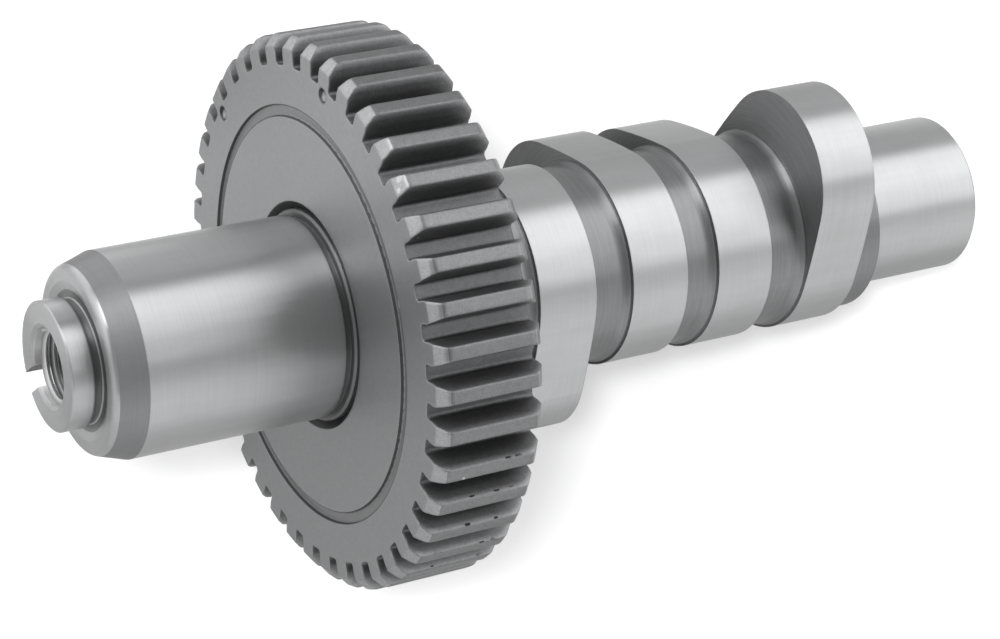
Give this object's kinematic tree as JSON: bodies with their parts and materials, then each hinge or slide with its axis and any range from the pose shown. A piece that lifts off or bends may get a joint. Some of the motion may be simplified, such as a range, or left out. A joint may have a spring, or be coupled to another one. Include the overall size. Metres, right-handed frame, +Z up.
{
  "type": "camshaft",
  "caption": "Camshaft with ground lobes, an inner and an outer journal, a pressed-on spur gear and a short nose with a threaded hole and a driving notch.",
  "frame": {"origin": "centre of the bounding box at its bottom, the surface that the camshaft rests on", "axes": "+X towards the inner end of the shaft along the longest side, +Z up; the shaft lies on the rim of its gear and on the edge of its inner end, so its axis leans 16.5 degrees from X, with the nose up"},
  "size_m": [0.129, 0.0694, 0.0696],
  "materials": {
    "ground_steel": "ground and turned, satin",
    "gear_steel": "machined and hardened, dull",
    "key_steel": "bright drawn"
  },
  "bodies": {
    "root": {"camshaft": "ground_steel", "cam_gear": "gear_steel", "gear_key": "key_steel"}
  },
  "joints": []
}
